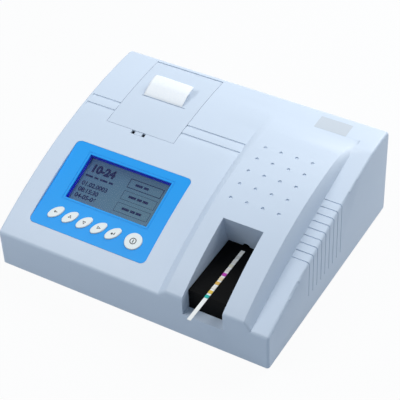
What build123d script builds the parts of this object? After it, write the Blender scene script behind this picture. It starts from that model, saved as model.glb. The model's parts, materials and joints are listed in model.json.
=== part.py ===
# Bench-top strip analyzer: a moulded hood with a keypad, a screen, a slip printer and a strip tray.
#
# Millimetres. +X right, +Y to the rear, +Z up. The origin is on the table, below the middle of the
# whole part, which is the housing and the test strip that reaches out in front of it.

from build123d import *
from math import acos, atan2, cos, pi, radians, sin, sqrt, tan
import os

os.makedirs("parts", exist_ok=True)

# ---------------------------------------------------------------- driving sizes: housing
body_width = 380.0
body_depth = 321.0
wall = 3.0
hood_bottom = 2.0            # height of the hood's lower rim over the table
lip_height = 53.5            # top of the front face
crown_height = 129.0         # highest line of the curved top
apex_inset = 14.0            # from the rear face to that line
lip_radius = 5.0
rear_radius = 8.0
side_radius = 3.5

# places across the hood, as shares of half its width
module_left_foot_share = 0.2174
module_left_crest_share = 0.2842
module_right_crest_share = 0.829
module_right_foot_share = 0.8753
dimple_share = 0.541
tray_share = 0.542
panel_left_share = -0.842
door_left_share = -0.749
inlet_share = -0.789
switch_share = -0.589
serial_share = 0.316

# raised channel cover on the right, which holds the strip recess
module_lip = 63.5
module_crown = 130.7
module_apex_inset = 83.0
module_end_inset = 37.0      # from the rear face to where the module has run out into the top
flank_bulge = 0.12           # how far a flank's middle stands over the chord, as a share of its rise
foot_sink = 0.6              # how far the module's feet dip under the surface that they run into

# lower shoulder on the right-hand side
shoulder_lip = 52.0
shoulder_end_inset = 49.5    # from the rear face to where the shoulder meets the crown
joint_radius = 40.0          # softens the bend where the shoulder meets the crown
shoulder_sag = 6.0           # how far the shoulder's arc stands above its chord

groove_count = 9
groove_pitch = 10.65
groove_first = 101.5         # from the front face to the first groove
groove_width = 1.3
groove_depth = 1.1
groove_foot = 31.0

dimple_columns = 4
dimple_rows = 5
dimple_pitch = 21.6
dimple_row_pitch = 22.0
dimple_y = 173.0             # from the front face to the middle row
dimple_radius = 2.2
dimple_depth = 1.2

step_inset = (102.0, 116.5)  # from the rear face to the two steps across the top
step_drop = 1.1
step_run = 8.0
step_margin = 5.0

# ---------------------------------------------------------------- driving sizes: strip drawer
recess_width = 54.0
recess_length = 100.8
recess_lean = 9.2            # how far the back wall leans to the rear over its height
recess_wall = 3.0
sill_height = 37.5
sill_depth = 14.0
tray_set_back = 0.5          # from the sill's rear edge to the tray's front
passage_height = 66.4        # lower edge of the recess's back wall
notch_radius = 5.0
tray_gap = 0.6
tray_top = 65.5
tray_plate = 3.5
tray_length = 118.0
tray_travel = 85.0
tray_rib = 2.0
tray_rib_height = 4.0
slide_gap = 0.3
strip_reach = 27.0           # how far the strip stands out in front of the hood
strip_length = 129.0
strip_width = 5.0
strip_base = 0.5
strip_shift = 1.5
strip_seat = 0.4
pad_count = 11
pad_pitch = 8.2
pad_size = 5.0
pad_height = 0.5
pad_first = 42.0             # from the handle's end to the first pad
bed_wall = 3.0
bed_end = 4.5                # room behind the tray when it is fully drawn in
bed_plate_top = 52.0
bed_plate = 3.0
rack_module = 1.0
rack_teeth = 34
rack_height = 6.0
rack_back = 3.2
rack_shift = 8.5             # from the tray's left edge to the rack
rack_margin = 5.0
pressure_angle = 20.0
half_turn = 180.0
addendum = 0.8               # of the module, a little short so that few teeth need no undercut
dedendum = 1.25
pinion_mesh = 31             # teeth of the rack that lie in front of the pinion's axis
pinion_teeth = 16
pinion_width = 5.0
pinion_shaft = 2.5
pinion_shaft_length = 16.0
drive_motor_radius = 14.0
drive_motor_length = 20.0

# ---------------------------------------------------------------- driving sizes: keypad and screen
panel_width = 168.5
panel_front = 25.0           # from the front face
panel_run = 119.0            # its length in plan
panel_thickness = 2.0
panel_corner = 7.0
panel_gap = 0.25
seat_thickness = 2.0
seat_margin = 3.0
screen_width = 119.0
screen_height = 66.0
screen_shift = 2.25          # from the panel's middle to the screen's
screen_up = 46.7             # from the panel's front edge, along its slope
bezel_depth = 5.0
bezel_wall = 2.5
bezel_ledge = 0.8
bezel_flange = 4.0
bezel_flange_thickness = 1.5
screen_plate = 2.0
window_thickness = 0.8
outline_gap = 2.6
outline_width = 0.7
outline_depth = 0.3
key_count = 5
key_pitch = 21.0
start_pitch = 29.0           # from the last of them to the START key
key_row = 23.0
key_long = 22.8
key_short = 12.8
key_turn = 48.0
start_diameter = 23.0
key_proud = 1.1
key_gap = 0.3
key_play = 0.1
key_end_radius = 4.2
key_flange = 0.8
key_flange_height = 0.9
key_edge = 0.7
keyway_margin = 3.0          # between the keys and the edge of their opening in the seat
board_thickness = 1.6
board_margin = 2.0

# ---------------------------------------------------------------- driving sizes: printer
door_width = 99.3
door_run_share = 0.3953      # its length in plan, as a share of the housing's depth
door_inset = 9.8             # from the rear face to its rear edge
door_thickness = 2.6
door_gap = 0.5
barrel_radius = 2.2
hinge_pin_radius = 1.0
hinge_pin_length = 7.0
fit_gap = 0.06               # radial clearance of pins and shafts
ear_width = 4.0
ear_depth = 9.0
ear_height = 7.0
slot_inset = 68.4            # from the door's rear edge to the paper slot
slot_length = 64.0
slot_width = 1.2
tab_width = 10.5
tab_reach = 5.2
tab_thickness = 1.6
tab_sink = 0.6
tab_hold = 4.0               # how far the tab reaches back under the door
finger_width = 20.0
finger_reach = 6.0
finger_shift = -0.5          # from the middle of the door to the finger recess
paper_width = 57.5
paper_shift = -1.6           # from the middle of the door to the middle of the paper
paper_thickness = 0.25
paper_clear = 0.3
slip_run = 32.0              # plan length of the slip above the door
slip_rise = 12.5
slip_lift = 2.3
slip_knee_run = 15.5
slip_knee_rise = 8.4
slip_bend = 3.0
roll_radius = 22.0
core_radius = 6.0
spindle_radius = 4.0
roll_y = 47.0                # from the rear face to the roll's axis
roll_z = 100.5
web_bend = 6.0
bay_wall = 2.0
bay_floor = 76.0
bay_side = 3.5               # how far the bay is wider than the door on each side
bay_front = 8.5              # how far the bay reaches in front of the door
bay_rear = 21.0              # from the rear face
platen_radius = 7.0
platen_length = 60.0
platen_z = 107.0
shaft_radius = 2.0
frame_wall = 2.0
frame_clear = 0.7
frame_front = 16.0           # from the platen's axis to the frame's front edge
frame_rear = 12.5
frame_height = 36.0
head_depth = 4.0
head_height = 9.0
gear_module = 0.8
platen_teeth = 20
idler_teeth = 16
motor_teeth = 12
gear_width = 5.0
gear_gap = 2.0
backlash = 0.2
idler_angle = 233.3
motor_angle = 280.3
motor_radius = 6.0
motor_length = 25.0
motor_shaft_radius = 1.0
motor_shaft_length = 16.0

# ---------------------------------------------------------------- driving sizes: chassis and rear
pan_thickness = 2.5
pan_gap = 0.3
pan_height = 2.4
pan_rim = 8.0
pan_rim_wall = 2.0
foot_radius = 9.0
foot_inset = 26.0
post_size = 8.0
post_inset = 12.0
screw_radius = 1.5
screw_head_radius = 2.9
screw_head_height = 1.6
screw_length = 12.0
port_z = 34.0
inlet_width = 27.0
inlet_height = 19.0
inlet_depth = 22.0
inlet_mouth_width = 24.0
inlet_mouth_height = 16.0
inlet_mouth_depth = 17.0
inlet_pin_width = 2.0
inlet_pin_height = 4.0
inlet_pin_length = 12.0
inlet_pin_pitch = 7.0
flange_margin = 2.0
flange_thickness = 1.5
switch_width = 15.0
switch_height = 21.0
switch_depth = 14.0
switch_wall = 1.5
rocker_tilt = 9.0
rocker_gap = 1.4
rocker_axis_depth = 4.5      # from the rear face to the rocker's axis
rocker_body = 3.0
rocker_pin_radius = 1.0
rocker_pin_length = 2.0
serial_width = 34.0
serial_height = 14.0
serial_pocket = 8.0
serial_shell_width = 17.0
serial_shell_height = 8.4
serial_shell_wall = 0.8
serial_shell_length = 6.0
serial_flank = 80.0          # base angle of the port's trapezoid, in degrees
block_wall = 2.5

# ---------------------------------------------------------------- places that follow from them
half_width = body_width / 2
module_left_foot = module_left_foot_share * half_width
module_left_crest = module_left_crest_share * half_width
module_right_crest = module_right_crest_share * half_width
module_right_foot = module_right_foot_share * half_width
dimple_x = dimple_share * half_width
tray_x = tray_share * half_width
panel_left = panel_left_share * half_width
door_left = door_left_share * half_width
inlet_x = inlet_share * half_width
switch_x = switch_share * half_width
serial_x = serial_share * half_width
rear_y = (body_depth + strip_reach) / 2
front_y = rear_y - body_depth
apex_y = rear_y - apex_inset
crown_run = apex_y - front_y
crown_rise = crown_height - lip_height
crown_radius = (crown_run**2 + crown_rise**2) / (2 * crown_rise)
module_apex_y = rear_y - module_apex_inset
module_rise = module_crown - module_lip
module_radius = ((module_apex_y - front_y) ** 2 + module_rise**2) / (2 * module_rise)
module_end_y = rear_y - module_end_inset
shoulder_end_y = rear_y - shoulder_end_inset
pan_top = pan_height + pan_thickness
roof = module_crown + wall
past = 1.0                   # how far a cutting tool runs past the face that it cuts
middle_y = (front_y + rear_y) / 2
pan_width = body_width - 2 * (wall + pan_gap)
pan_depth = body_depth - 2 * (wall + pan_gap)
post_places = [
    (x, y)
    for x in (-half_width + post_inset, half_width - post_inset)
    for y in (front_y + post_inset, rear_y - post_inset)
]
foot_places = [
    (x, y)
    for x in (-half_width + foot_inset, half_width - foot_inset)
    for y in (front_y + foot_inset, rear_y - foot_inset)
]
along_x = (0, 90, 0)
along_y = (-90, 0, 0)
upright = (0, 0, 0)


def crown_z(y):
    """Height of the curved top at depth y."""
    return crown_height - crown_radius + sqrt(crown_radius**2 - (y - apex_y) ** 2)


def module_z(y):
    """Height of the raised module's crest at depth y."""
    return module_crown - module_radius + sqrt(module_radius**2 - (y - module_apex_y) ** 2)


def shoulder_z(y):
    """Height of the low right-hand shoulder at depth y, on a long arc that climbs to meet the crown."""
    run = shoulder_end_y - front_y
    share = (y - front_y) / run
    rise = crown_z(shoulder_end_y) - shoulder_lip
    return shoulder_lip + share * rise + 4 * shoulder_sag * share * (1 - share)


def between(first, second, share):
    """A height function that lies a share of the way from the first to the second."""
    return lambda y: (1 - share) * first(y) + share * second(y)


def across(y):
    """An upright plane at depth y, drawn in X and Z."""
    return Plane.XZ.offset(-y)


# strip recess and tray
recess_left = tray_x - recess_width / 2
recess_rear = front_y + recess_length
recess_foot = recess_rear + recess_lean
recess_lean_rate = recess_lean / (module_z(recess_rear) - passage_height)
recess_top_y = recess_foot - recess_lean_rate * (roof - passage_height)
strip_x = tray_x - strip_shift
tray_left = recess_left + tray_gap
tray_right = tray_left + recess_width - 2 * tray_gap
tray_under = tray_top - tray_plate
tray_front_y = front_y + sill_depth + tray_set_back
bed_length = tray_length + tray_travel + bed_end
strip_front_y = front_y - strip_reach
strip_z = tray_top - strip_seat
rack_x = tray_left + rack_shift
rack_pitch_x = rack_x + rack_back + dedendum * rack_module
pinion_x = rack_pitch_x + rack_module * pinion_teeth / 2
pinion_y = tray_front_y + rack_margin + pinion_mesh * pi * rack_module
pinion_z = tray_under - rack_height / 2 - pinion_width / 2

# keypad panel: a flat chord of the crown, drawn in its own plane from its front left corner
panel_front_y = front_y + panel_front
panel_rear_y = panel_front_y + panel_run
panel_slope = atan2(crown_z(panel_rear_y) - crown_z(panel_front_y), panel_run)
panel_length = panel_run / cos(panel_slope)
panel_plane = Plane(
    origin=(panel_left, panel_front_y, crown_z(panel_front_y)),
    x_dir=(1, 0, 0),
    z_dir=(0, -sin(panel_slope), cos(panel_slope)),
)
panel_axis = Axis(panel_plane.origin, panel_plane.z_dir)
panel_middle = (panel_width / 2, panel_length / 2)
screen_middle = (panel_width / 2 + screen_shift, screen_up + screen_height / 2)
bezel_width = screen_width + 2 * bezel_wall
bezel_height = screen_height + 2 * bezel_wall
key_row_length = (key_count - 1) * key_pitch + start_pitch
key_first = (panel_width - key_row_length) / 2
start_x = key_first + key_row_length
key_places = [(key_first + index * key_pitch, key_row) for index in range(key_count)]
start_place = (start_x, key_row)
keyway_left = key_first - key_long / 2 - keyway_margin
keyway_right = start_x + start_diameter / 2 + keyway_margin
keyway_width = keyway_right - keyway_left
keyway_height = start_diameter + 2 * keyway_margin
keyway_middle = ((keyway_left + keyway_right) / 2, key_row)
pocket_height = 4 * wall

# printer
door_right = door_left + door_width
door_rear_y = rear_y - door_inset
door_front_y = door_rear_y - door_run_share * body_depth
hinge_y = door_rear_y - barrel_radius
hinge_z = crown_z(hinge_y) - barrel_radius
hinge_bore_depth = hinge_pin_length - ear_width - door_gap + slide_gap
slot_x = door_left + door_width / 2
slot_y = door_rear_y - slot_inset
door_under_z = crown_z(slot_y) - door_thickness
finger_x = slot_x + finger_shift
tab_front_y = door_front_y - tab_reach
tab_rear_y = door_front_y + tab_hold
paper_x = slot_x + paper_shift
paper_left = paper_x - paper_width / 2
paper_y = slot_y + slot_width / 2 - paper_thickness
paper_middle_y = paper_y + paper_thickness / 2
roll_axis_y = rear_y - roll_y
bay_left = door_left - bay_side
bay_right = door_right + bay_side
bay_front_y = door_front_y - bay_front
bay_rear_y = rear_y - bay_rear
platen_y = paper_y - paper_clear - platen_radius
head_front_y = paper_y + paper_thickness + paper_clear
frame_left = paper_x - platen_length / 2 - frame_clear - frame_wall
frame_right = paper_x + platen_length / 2 + frame_clear + frame_wall
gear_x = frame_left - gear_gap - gear_width
idler_reach = gear_module * (platen_teeth + idler_teeth) / 2
motor_reach = gear_module * (idler_teeth + motor_teeth) / 2
idler_place = (
    platen_y + idler_reach * cos(radians(idler_angle)),
    platen_z + idler_reach * sin(radians(idler_angle)),
)
motor_place = (
    idler_place[0] + motor_reach * cos(radians(motor_angle)),
    idler_place[1] + motor_reach * sin(radians(motor_angle)),
)
idler_first = idler_angle + half_turn + half_turn / idler_teeth
idler_to_motor = (motor_angle - idler_first) * idler_teeth / motor_teeth
motor_first = motor_angle + half_turn + half_turn / motor_teeth + idler_to_motor

# dimples and grooves
dimple_places = [
    (
        dimple_x + (column - (dimple_columns - 1) / 2) * dimple_pitch,
        front_y + dimple_y + (row - (dimple_rows - 1) / 2) * dimple_row_pitch,
    )
    for column in range(dimple_columns)
    for row in range(dimple_rows)
]
dimple_places = [(x, y, module_z(y)) for x, y in dimple_places]
groove_start = module_right_foot + slide_gap

# rear
rocker_width = switch_width - 2 * switch_wall - 2 * slide_gap
rocker_height = switch_height - 2 * switch_wall - 2 * rocker_gap
rocker_y = rear_y - rocker_axis_depth
inlet_pin_shift = inlet_pin_height / 2
rocker_half = rocker_height / 2
rocker_rise = rocker_half * tan(radians(rocker_tilt))
rocker_outline = [
    (rocker_y - rocker_body, port_z),
    (rocker_y - rocker_body + rocker_rise, port_z + rocker_half),
    (rocker_y + rocker_body + rocker_rise, port_z + rocker_half),
    (rocker_y + rocker_body - rocker_rise / 2, port_z),
    (rocker_y + rocker_body - rocker_rise, port_z - rocker_half),
    (rocker_y - rocker_body - rocker_rise / 2, port_z - rocker_half),
]


def crown_face(x, height, end_y, drop, rear_round):
    """The side outline at x: everything under a height function, dropped and inset by one distance."""
    inset = min(drop, wall)
    start_y = front_y + inset
    floor_z = hood_bottom - inset
    middle_y = (start_y + end_y) / 2
    start = (start_y, height(start_y) - drop)
    end = (end_y, height(end_y) - drop)
    with BuildSketch(Plane.YZ.offset(x)) as face:
        with BuildLine():
            Line((start_y, floor_z), start)
            ThreePointArc(start, (middle_y, height(middle_y) - drop), end)
            Line(end, (end_y, floor_z))
            Line((end_y, floor_z), (start_y, floor_z))
        make_face()
        fillet(face.vertices().group_by(Axis.X)[0].sort_by(Axis.Y)[-1], lip_radius - inset / 2)
        if rear_round > 0:
            fillet(face.vertices().group_by(Axis.X)[-1].sort_by(Axis.Y)[-1], rear_round)
    return face.sketch


def flank(foot_x, foot_height, crest_x, inset):
    """Side outlines from a flank's foot to its crest, over a rounded middle on the outer face only."""
    middle = (foot_x + crest_x) / 2
    outlines = []
    for x, share in ((foot_x, 0), (middle, 1 / 2 + flank_bulge), (crest_x, 1)):
        drop = inset + foot_sink * (1 - share)
        outlines.append(crown_face(x, between(foot_height, module_z, share), module_end_y, drop, 0))
    if inset > 0:
        outlines.pop(1)
    return outlines


def module_form(inset):
    """The raised module: two lofted flanks and the crest between them."""
    left_shift = inset * 0.5
    right_shift = -inset * 0.85
    left_flank = flank(module_left_foot + left_shift, crown_z, module_left_crest + left_shift, inset)
    right_crest = module_right_crest + right_shift
    right_flank = flank(module_right_foot + right_shift, shoulder_z, right_crest, inset)
    with BuildPart() as module:
        loft(left_flank)
        extrude(left_flank[-1], amount=right_crest - module_left_crest - left_shift)
        loft(right_flank)
    return module.part


def shoulder_face(x, inset):
    """The side outline on the right: the low shoulder in front, then the crown behind it."""
    start_y = front_y + inset
    end_y = rear_y - inset
    floor_z = hood_bottom - inset
    middle_y = (start_y + shoulder_end_y) / 2
    behind_y = (shoulder_end_y + end_y) / 2
    start = (start_y, shoulder_z(start_y) - inset)
    joint = (shoulder_end_y, crown_z(shoulder_end_y) - inset)
    end = (end_y, crown_z(end_y) - inset)
    with BuildSketch(Plane.YZ.offset(x)) as face:
        with BuildLine():
            Line((start_y, floor_z), start)
            ThreePointArc(start, (middle_y, shoulder_z(middle_y) - inset), joint)
            ThreePointArc(joint, (behind_y, crown_z(behind_y) - inset), end)
            Line(end, (end_y, floor_z))
            Line((end_y, floor_z), (start_y, floor_z))
        make_face()
        fillet(face.vertices().group_by(Axis.X)[0].sort_by(Axis.Y)[-1], lip_radius - inset / 2)
        fillet(face.vertices().group_by(Axis.X)[-1].sort_by(Axis.Y)[-1], rear_radius - inset)
        bend = face.vertices().sort_by_distance((*joint, 0))[0]
        fillet(bend, joint_radius)
    return face.sketch


def hood_form(inset):
    """The hood's outer form, or with an inset the hollow inside it."""
    half = half_width - inset
    split_x = (module_right_crest + module_right_foot) / 2 - inset * 0.85
    side = crown_face(-half, crown_z, rear_y - inset, inset, rear_radius - inset)
    shoulder = shoulder_face(split_x, inset)
    with BuildPart() as left_form:
        extrude(side, amount=half + split_x)
        if inset == 0:
            rim = left_form.faces().sort_by(Axis.X)[0].edges()
            fillet(rim.filter_by(lambda edge: edge.center().Z > hood_bottom + 1), side_radius)
    with BuildPart() as right_form:
        extrude(shoulder, amount=half - split_x)
        if inset == 0:
            rim = right_form.faces().sort_by(Axis.X)[-1].edges()
            fillet(rim.filter_by(lambda edge: edge.center().Z > hood_bottom + 1), side_radius)
    with BuildPart() as form:
        add(left_form.part)
        add(right_form.part)
        add(module_form(inset))
    return form.part


def block(low, high, mode=Mode.ADD):
    """A box between two opposite corners."""
    size = [far - near for near, far in zip(low, high)]
    with Locations(low):
        Box(*size, align=(Align.MIN, Align.MIN, Align.MIN), mode=mode)


def rod(start, radius, length, turn=upright, mode=Mode.ADD):
    """A round bar that runs from its start for a length."""
    with Locations(start):
        Cylinder(radius, length, rotation=turn, align=(Align.CENTER, Align.CENTER, Align.MIN), mode=mode)


def port_block(x, width, height, near_y, far_y, mode=Mode.ADD):
    """A box round the point x of the row of ports in the rear, between two depths."""
    low = (x - width / 2, near_y, port_z - height / 2)
    high = (x + width / 2, far_y, port_z + height / 2)
    block(low, high, mode)


def involute(angle):
    """The involute function of a pressure angle."""
    return tan(angle) - angle


def gear_outline(teeth, module, centre, first_angle):
    """Corners of a spur gear whose flanks follow the involute, with a tooth centred on first_angle."""
    pitch_radius = module * teeth / 2
    base_radius = pitch_radius * cos(radians(pressure_angle))
    root_radius = pitch_radius - dedendum * module
    tip_radius = pitch_radius + addendum * module
    radii = (root_radius, pitch_radius, tip_radius)
    half_tooth = pi / (2 * teeth) - backlash / (2 * pitch_radius)
    flank_angles = []
    for radius in radii:
        swing = acos(min(1.0, base_radius / radius))
        flank_angles.append(half_tooth + involute(radians(pressure_angle)) - involute(swing))
    corners = []
    for tooth in range(teeth):
        middle = radians(first_angle) + 2 * pi * tooth / teeth
        leading = [(radius, middle - angle) for radius, angle in zip(radii, flank_angles)]
        trailing = [(radius, middle + angle) for radius, angle in zip(radii, flank_angles)]
        for radius, angle in leading + trailing[::-1]:
            corners.append((centre[0] + radius * cos(angle), centre[1] + radius * sin(angle)))
    return corners


def rack_outline(back_x, pitch_x, start_y, teeth, module):
    """Corners of a straight rack with its teeth towards +X."""
    pitch = pi * module
    tip_x = pitch_x + addendum * module
    root_x = pitch_x - dedendum * module
    slope = tan(radians(pressure_angle))
    tip_half = pitch / 4 - addendum * module * slope - backlash / 2
    root_half = pitch / 4 + dedendum * module * slope - backlash / 2
    corners = [(back_x, start_y), (root_x, start_y)]
    for tooth in range(teeth):
        middle = start_y + (tooth + 1 / 2) * pitch
        corners += [(root_x, middle - root_half), (tip_x, middle - tip_half)]
        corners += [(tip_x, middle + tip_half), (root_x, middle + root_half)]
    return corners + [(root_x, start_y + teeth * pitch), (back_x, start_y + teeth * pitch)]


outer = hood_form(0)
hollow = hood_form(wall)

# ---------------------------------------------------------------- top cover
with BuildPart() as fittings:
    # the block that becomes the walls and the sill of the strip recess
    with BuildSketch(Plane.YZ.offset(recess_left - recess_wall)):
        with BuildLine():
            Polyline(
                (front_y, sill_height - recess_wall),
                (recess_foot + recess_wall, sill_height - recess_wall),
                (recess_foot + recess_wall, passage_height),
                (recess_top_y + recess_wall, roof),
                (front_y, roof),
                close=True,
            )
        make_face()
    extrude(amount=recess_width + 2 * recess_wall)
    # the seat of the keypad panel
    with BuildSketch(panel_plane.offset(-panel_thickness - seat_thickness)):
        with Locations(panel_middle):
            RectangleRounded(
                panel_width + 2 * seat_margin, panel_length + 2 * seat_margin, panel_corner + seat_margin
            )
    extrude(amount=pocket_height)
    # screw posts, hinge ears and the block round the serial port
    half_post = post_size / 2
    for x, y in post_places:
        block((x - half_post, y - half_post, pan_top), (x + half_post, y + half_post, roof))
    for ear_x in (door_left - door_gap - ear_width, door_right + door_gap):
        block(
            (ear_x, hinge_y - ear_depth / 2, hinge_z - ear_height / 2),
            (ear_x + ear_width, hinge_y + ear_depth / 2, roof),
        )
    port_block(
        serial_x,
        serial_width + 2 * block_wall,
        serial_height + 2 * block_wall,
        rear_y - serial_pocket - block_wall,
        rear_y,
    )
    add(outer, mode=Mode.INTERSECT)

with BuildPart() as top_cover:
    add(outer)
    add(hollow, mode=Mode.SUBTRACT)
    add(fittings.part)
    # strip recess, its sill and the passage that the tray runs back through
    with BuildSketch(Plane.YZ.offset(recess_left)):
        with BuildLine():
            Polyline(
                (front_y - past, sill_height),
                (front_y + sill_depth, sill_height),
                (front_y + sill_depth, sill_height - recess_wall - past),
                (recess_foot + recess_wall + past, sill_height - recess_wall - past),
                (recess_foot + recess_wall + past, passage_height),
                (recess_foot, passage_height),
                (recess_top_y, roof),
                (front_y - past, roof),
                close=True,
            )
        make_face()
    extrude(amount=recess_width, mode=Mode.SUBTRACT)
    rod(
        (strip_x, recess_rear - recess_wall, passage_height),
        notch_radius,
        recess_lean + 3 * recess_wall,
        along_y,
        Mode.SUBTRACT,
    )
    # pocket of the keypad panel, with the openings for the screen and the keys
    with BuildSketch(panel_plane.offset(-panel_thickness)):
        with Locations(panel_middle):
            RectangleRounded(
                panel_width + 2 * panel_gap, panel_length + 2 * panel_gap, panel_corner + panel_gap
            )
    extrude(amount=pocket_height, mode=Mode.SUBTRACT)
    with BuildSketch(panel_plane.offset(-panel_thickness - seat_thickness - past)):
        with Locations(screen_middle):
            Rectangle(bezel_width + 2 * slide_gap, bezel_height + 2 * slide_gap)
        with Locations(keyway_middle):
            Rectangle(keyway_width, keyway_height)
    extrude(amount=seat_thickness + 2 * past, mode=Mode.SUBTRACT)
    # door opening, finger recess in front of it, and the bores of its hinge pins
    block(
        (door_left - door_gap, door_front_y - door_gap, crown_z(door_front_y) - wall - past),
        (door_right + door_gap, door_rear_y + door_gap, roof),
        Mode.SUBTRACT,
    )
    block(
        (finger_x - finger_width / 2, door_front_y - finger_reach, crown_z(bay_front_y) - wall - past),
        (finger_x + finger_width / 2, door_front_y, roof),
        Mode.SUBTRACT,
    )
    for ear_x in (door_left - door_gap - ear_width, door_right + door_gap):
        rod((ear_x, hinge_y, hinge_z), hinge_pin_radius + fit_gap, ear_width, along_x, Mode.SUBTRACT)
    # two low steps across the top, each with its high side to the rear
    for inset in step_inset:
        step_y = rear_y - inset
        with BuildSketch(Plane.YZ.offset(-half_width + step_margin)):
            with BuildLine():
                Polyline(
                    (step_y, crown_z(step_y) + past),
                    (step_y, crown_z(step_y) - step_drop),
                    (step_y - step_run, crown_z(step_y - step_run)),
                    (step_y - step_run, crown_z(step_y) + past),
                    close=True,
                )
            make_face()
        extrude(amount=module_left_foot + half_width - step_margin, mode=Mode.SUBTRACT)
    # dimples in the raised module
    for x, y, z in dimple_places:
        rod((x, y, z - dimple_depth), dimple_radius, 2 * dimple_depth, upright, Mode.SUBTRACT)
    # grooves that run over the shoulder, round its edge and down the side
    for index in range(groove_count):
        groove_y = front_y + groove_first + index * groove_pitch
        groove_top = shoulder_z(groove_y)
        with BuildSketch(across(groove_y + groove_width / 2)) as groove:
            with Locations((groove_start, groove_foot)):
                Rectangle(
                    half_width + past - groove_start,
                    groove_top + wall - groove_foot,
                    align=(Align.MIN, Align.MIN),
                )
                Rectangle(
                    half_width - groove_depth - groove_start,
                    groove_top - groove_depth - groove_foot,
                    align=(Align.MIN, Align.MIN),
                    mode=Mode.SUBTRACT,
                )
            inner_corner = (half_width - groove_depth, groove_top - groove_depth, 0)
            fillet(groove.vertices().sort_by_distance(inner_corner)[0], side_radius)
        extrude(amount=groove_width, mode=Mode.SUBTRACT)
    # places of the inlet, the switch and the serial port in the rear wall
    for x, width, height in ((inlet_x, inlet_width, inlet_height), (switch_x, switch_width, switch_height)):
        for grow, depth in ((slide_gap, wall + past), (flange_margin + slide_gap, flange_thickness)):
            size = (width + 2 * grow, height + 2 * grow)
            port_block(x, *size, rear_y - depth, rear_y + past, Mode.SUBTRACT)
    port_block(
        serial_x, serial_width, serial_height, rear_y - serial_pocket, rear_y + past, Mode.SUBTRACT
    )
    for x, y in post_places:
        rod((x, y, pan_top), screw_radius + fit_gap, screw_length, upright, Mode.SUBTRACT)

# ---------------------------------------------------------------- base pan, feet and screws
with BuildPart() as base_pan:
    with BuildSketch(Plane.XY.offset(pan_height)):
        with Locations((0, middle_y)):
            Rectangle(pan_width, pan_depth)
    extrude(amount=pan_thickness)
    with BuildSketch(Plane.XY.offset(pan_top)):
        with Locations((0, middle_y)):
            Rectangle(pan_width, pan_depth)
            Rectangle(pan_width - 2 * pan_rim_wall, pan_depth - 2 * pan_rim_wall, mode=Mode.SUBTRACT)
    extrude(amount=pan_rim)
    for x, y in post_places:
        rod((x, y, pan_height), screw_radius + fit_gap, pan_thickness, upright, Mode.SUBTRACT)

with BuildPart() as rubber_feet:
    for x, y in foot_places:
        rod((x, y, 0), foot_radius, pan_height)

with BuildPart() as case_screws:
    for x, y in post_places:
        rod((x, y, pan_height - screw_head_height), screw_head_radius, screw_head_height)
        rod((x, y, pan_height), screw_radius, screw_length)

# ---------------------------------------------------------------- keypad and screen
def oval(margin):
    """Outline of a slanting oval key: two end arcs and two flat arcs, all grown by a margin."""
    half_long = key_long / 2 + margin
    half_short = key_short / 2 + margin
    end_radius = key_end_radius + margin
    end_shift = half_long - end_radius
    flat_radius = (end_shift**2 + half_short**2 - end_radius**2) / (2 * (half_short - end_radius))
    reach = flat_radius / (flat_radius - end_radius)
    turn_x = end_shift * reach
    turn_y = (flat_radius - half_short) * (reach - 1)
    with BuildSketch() as outline:
        with BuildLine():
            ThreePointArc((turn_x, turn_y), (half_long, 0), (turn_x, -turn_y))
            ThreePointArc((turn_x, -turn_y), (0, -half_short), (-turn_x, -turn_y))
            ThreePointArc((-turn_x, -turn_y), (-half_long, 0), (-turn_x, turn_y))
            ThreePointArc((-turn_x, turn_y), (0, half_short), (turn_x, turn_y))
        make_face()
    return outline.sketch.rotate(Axis.Z, key_turn)


def disc(margin):
    """Outline of the round START key, grown by a margin."""
    with BuildSketch() as outline:
        Circle(start_diameter / 2 + margin)
    return outline.sketch


with BuildPart() as keypad_panel:
    with BuildSketch(panel_plane.offset(-panel_thickness)):
        with Locations(panel_middle):
            RectangleRounded(panel_width, panel_length, panel_corner)
        with Locations(screen_middle):
            Rectangle(screen_width, screen_height, mode=Mode.SUBTRACT)
        with Locations(*key_places):
            add(oval(key_gap), mode=Mode.SUBTRACT)
        with Locations(start_place):
            add(disc(key_gap), mode=Mode.SUBTRACT)
    extrude(amount=panel_thickness)
    with BuildSketch(panel_plane):
        with Locations(screen_middle):
            Rectangle(
                screen_width + 2 * (outline_gap + outline_width),
                screen_height + 2 * (outline_gap + outline_width),
            )
            Rectangle(screen_width + 2 * outline_gap, screen_height + 2 * outline_gap, mode=Mode.SUBTRACT)
    extrude(amount=-outline_depth, mode=Mode.SUBTRACT)

with BuildPart() as lcd_window:
    with BuildSketch(panel_plane.offset(-panel_thickness)):
        with Locations(screen_middle):
            Rectangle(screen_width - 2 * fit_gap, screen_height - 2 * fit_gap)
    extrude(amount=window_thickness)

with BuildPart() as lcd_frame:
    with BuildSketch(panel_plane.offset(-panel_thickness - bezel_depth)):
        with Locations(screen_middle):
            Rectangle(bezel_width, bezel_height)
    extrude(amount=bezel_depth)
    with BuildSketch(panel_plane.offset(-panel_thickness - seat_thickness)):
        with Locations(screen_middle):
            Rectangle(bezel_width + 2 * bezel_flange, bezel_height + 2 * bezel_flange)
    extrude(amount=-bezel_flange_thickness)
    with BuildSketch(panel_plane.offset(-panel_thickness - bezel_depth)):
        with Locations(screen_middle):
            Rectangle(screen_width - 2 * bezel_ledge, screen_height - 2 * bezel_ledge)
    extrude(amount=bezel_depth, mode=Mode.SUBTRACT)

with BuildPart() as lcd_screen:
    with BuildSketch(panel_plane.offset(-panel_thickness - bezel_depth)):
        with Locations(screen_middle):
            Rectangle(bezel_width, bezel_height)
    extrude(amount=-screen_plate)


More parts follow.
